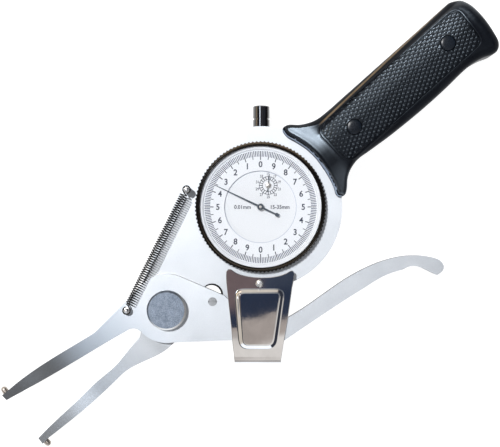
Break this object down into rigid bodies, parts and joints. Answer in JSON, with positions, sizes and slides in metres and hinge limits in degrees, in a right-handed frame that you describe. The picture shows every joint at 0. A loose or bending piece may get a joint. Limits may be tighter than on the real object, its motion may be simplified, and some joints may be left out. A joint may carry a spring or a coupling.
{
  "type": "internal dial caliper gauge",
  "caption": "Internal dial caliper gauge: two thin legs spread by a spring and closed by a trigger lever, read on a round dial with a turn counter, black pistol grip.",
  "frame": {"origin": "middle of the bottom of the bounding box, gauge lying on its back on the case cover and the grip", "axes": "+X to the right of the dial, along the grip and away from the legs; +Y towards the dial's zero and the dust cap; +Z out of the dial's face"},
  "size_m": [0.2331, 0.2093, 0.0226],
  "materials": {
    "satin_plate": "satin chrome on blasted steel plate",
    "hard_pin": "ground hard steel",
    "grip_plastic": "moulded, fine grain",
    "plug_plastic": "smooth moulded",
    "bright_steel": "turned",
    "blasted_steel": "blasted, bright chamfer",
    "brass_bush": "turned",
    "spring_wire": "drawn wire",
    "chrome_sheet": "polished pressing",
    "case_metal": "turned, satin",
    "black_gloss": "black, glossy",
    "brass_plate": "flat, satin",
    "dial_white": "printed satin white",
    "hand_dark": "dark slate",
    "bezel_black": "black, turned and knurled",
    "crystal_clear": "clear, polished"
  },
  "bodies": {
    "frame": {"frame_plate": "satin_plate", "fixed_contact": "hard_pin", "handle_front_shell": "grip_plastic", "handle_rear_shell": "grip_plastic", "handle_plugs": "plug_plastic", "handle_screws": "bright_steel", "handle_nuts": "bright_steel", "pivot_stud": "blasted_steel", "pivot_washer": "bright_steel", "pivot_nut": "bright_steel", "frame_spring_post": "bright_steel", "extension_spring": "spring_wire", "guard_cover": "chrome_sheet", "guard_screw": "bright_steel", "guard_spacer": "bright_steel", "indicator_case": "case_metal", "case_screws": "bright_steel", "back_cover": "case_metal", "stem_bush": "bright_steel", "guide_bush": "bright_steel", "dust_cap": "black_gloss", "movement_plate": "brass_plate", "rack_cock": "brass_plate", "cock_screws": "bright_steel", "bridge_plate": "brass_plate", "bridge_pillars": "brass_plate", "bridge_screws": "bright_steel", "hairspring": "spring_wire", "hairspring_stud": "bright_steel", "inner_dial": "dial_white", "bezel_snap_ring": "spring_wire"},
    "arm": {"arm_plate": "satin_plate", "moving_contact": "hard_pin", "arm_bush": "brass_bush", "arm_spring_post": "bright_steel", "stop_bush": "bright_steel", "stop_screw": "bright_steel", "anvil_block": "bright_steel", "anvil_screws": "bright_steel"},
    "plunger": {"spindle": "bright_steel", "contact_tip": "hard_pin"},
    "rack_shaft": {"rack_pinion": "bright_steel", "rack_wheel": "brass_plate"},
    "centre_shaft": {"centre_arbor": "bright_steel", "main_pointer": "hand_dark"},
    "counter_shaft": {"counter_arbor": "bright_steel", "counter_wheel": "brass_plate", "counter_hand": "hand_dark"},
    "bezel": {"bezel_ring": "bezel_black", "crystal": "crystal_clear", "scale_ring": "dial_white"}
  },
  "joints": [
    {"name": "arm_pivot", "type": "hinge", "parent": "frame", "child": "arm", "pos_m": [-0.03925, -0.04027, 0.0156], "axis": [0, 0, 1], "range_deg": [0, 14.2], "stiffness_Nm_per_rad": 0.16, "springref_deg": -45.84, "deforming": ["extension_spring"]},
    {"name": "plunger_slide", "type": "slide", "parent": "frame", "child": "plunger", "axis": [0, 1, 0], "range_m": [0, 0.01105]},
    {"name": "rack_shaft_turn", "type": "hinge", "parent": "frame", "child": "rack_shaft", "pos_m": [0.0016, -0.00258, 0.009], "axis": [0, 0, 1], "range_deg": [0, 372]},
    {"name": "main_pointer_turn", "type": "hinge", "parent": "frame", "child": "centre_shaft", "pos_m": [0.00445, 0.00777, 0.009], "axis": [0, 0, 1], "range_deg": [-3720, 0]},
    {"name": "counter_hand_turn", "type": "hinge", "parent": "frame", "child": "counter_shaft", "pos_m": [0.00809, 0.01785, 0.009], "axis": [0, 0, 1], "range_deg": [0, 372]},
    {"name": "bezel_turn", "type": "hinge", "parent": "frame", "child": "bezel", "pos_m": [0.00445, 0.00777, 0.017], "axis": [0, 0, 1], "continuous": true}
  ],
  "couplings": [
    {"joint": "plunger_slide", "follows": "arm_pivot", "m_per_rad": 0.044387},
    {"joint": "rack_shaft_turn", "follows": "arm_pivot", "ratio": 26.08},
    {"joint": "main_pointer_turn", "follows": "arm_pivot", "ratio": -260.8},
    {"joint": "counter_hand_turn", "follows": "arm_pivot", "ratio": 26.08}
  ]
}
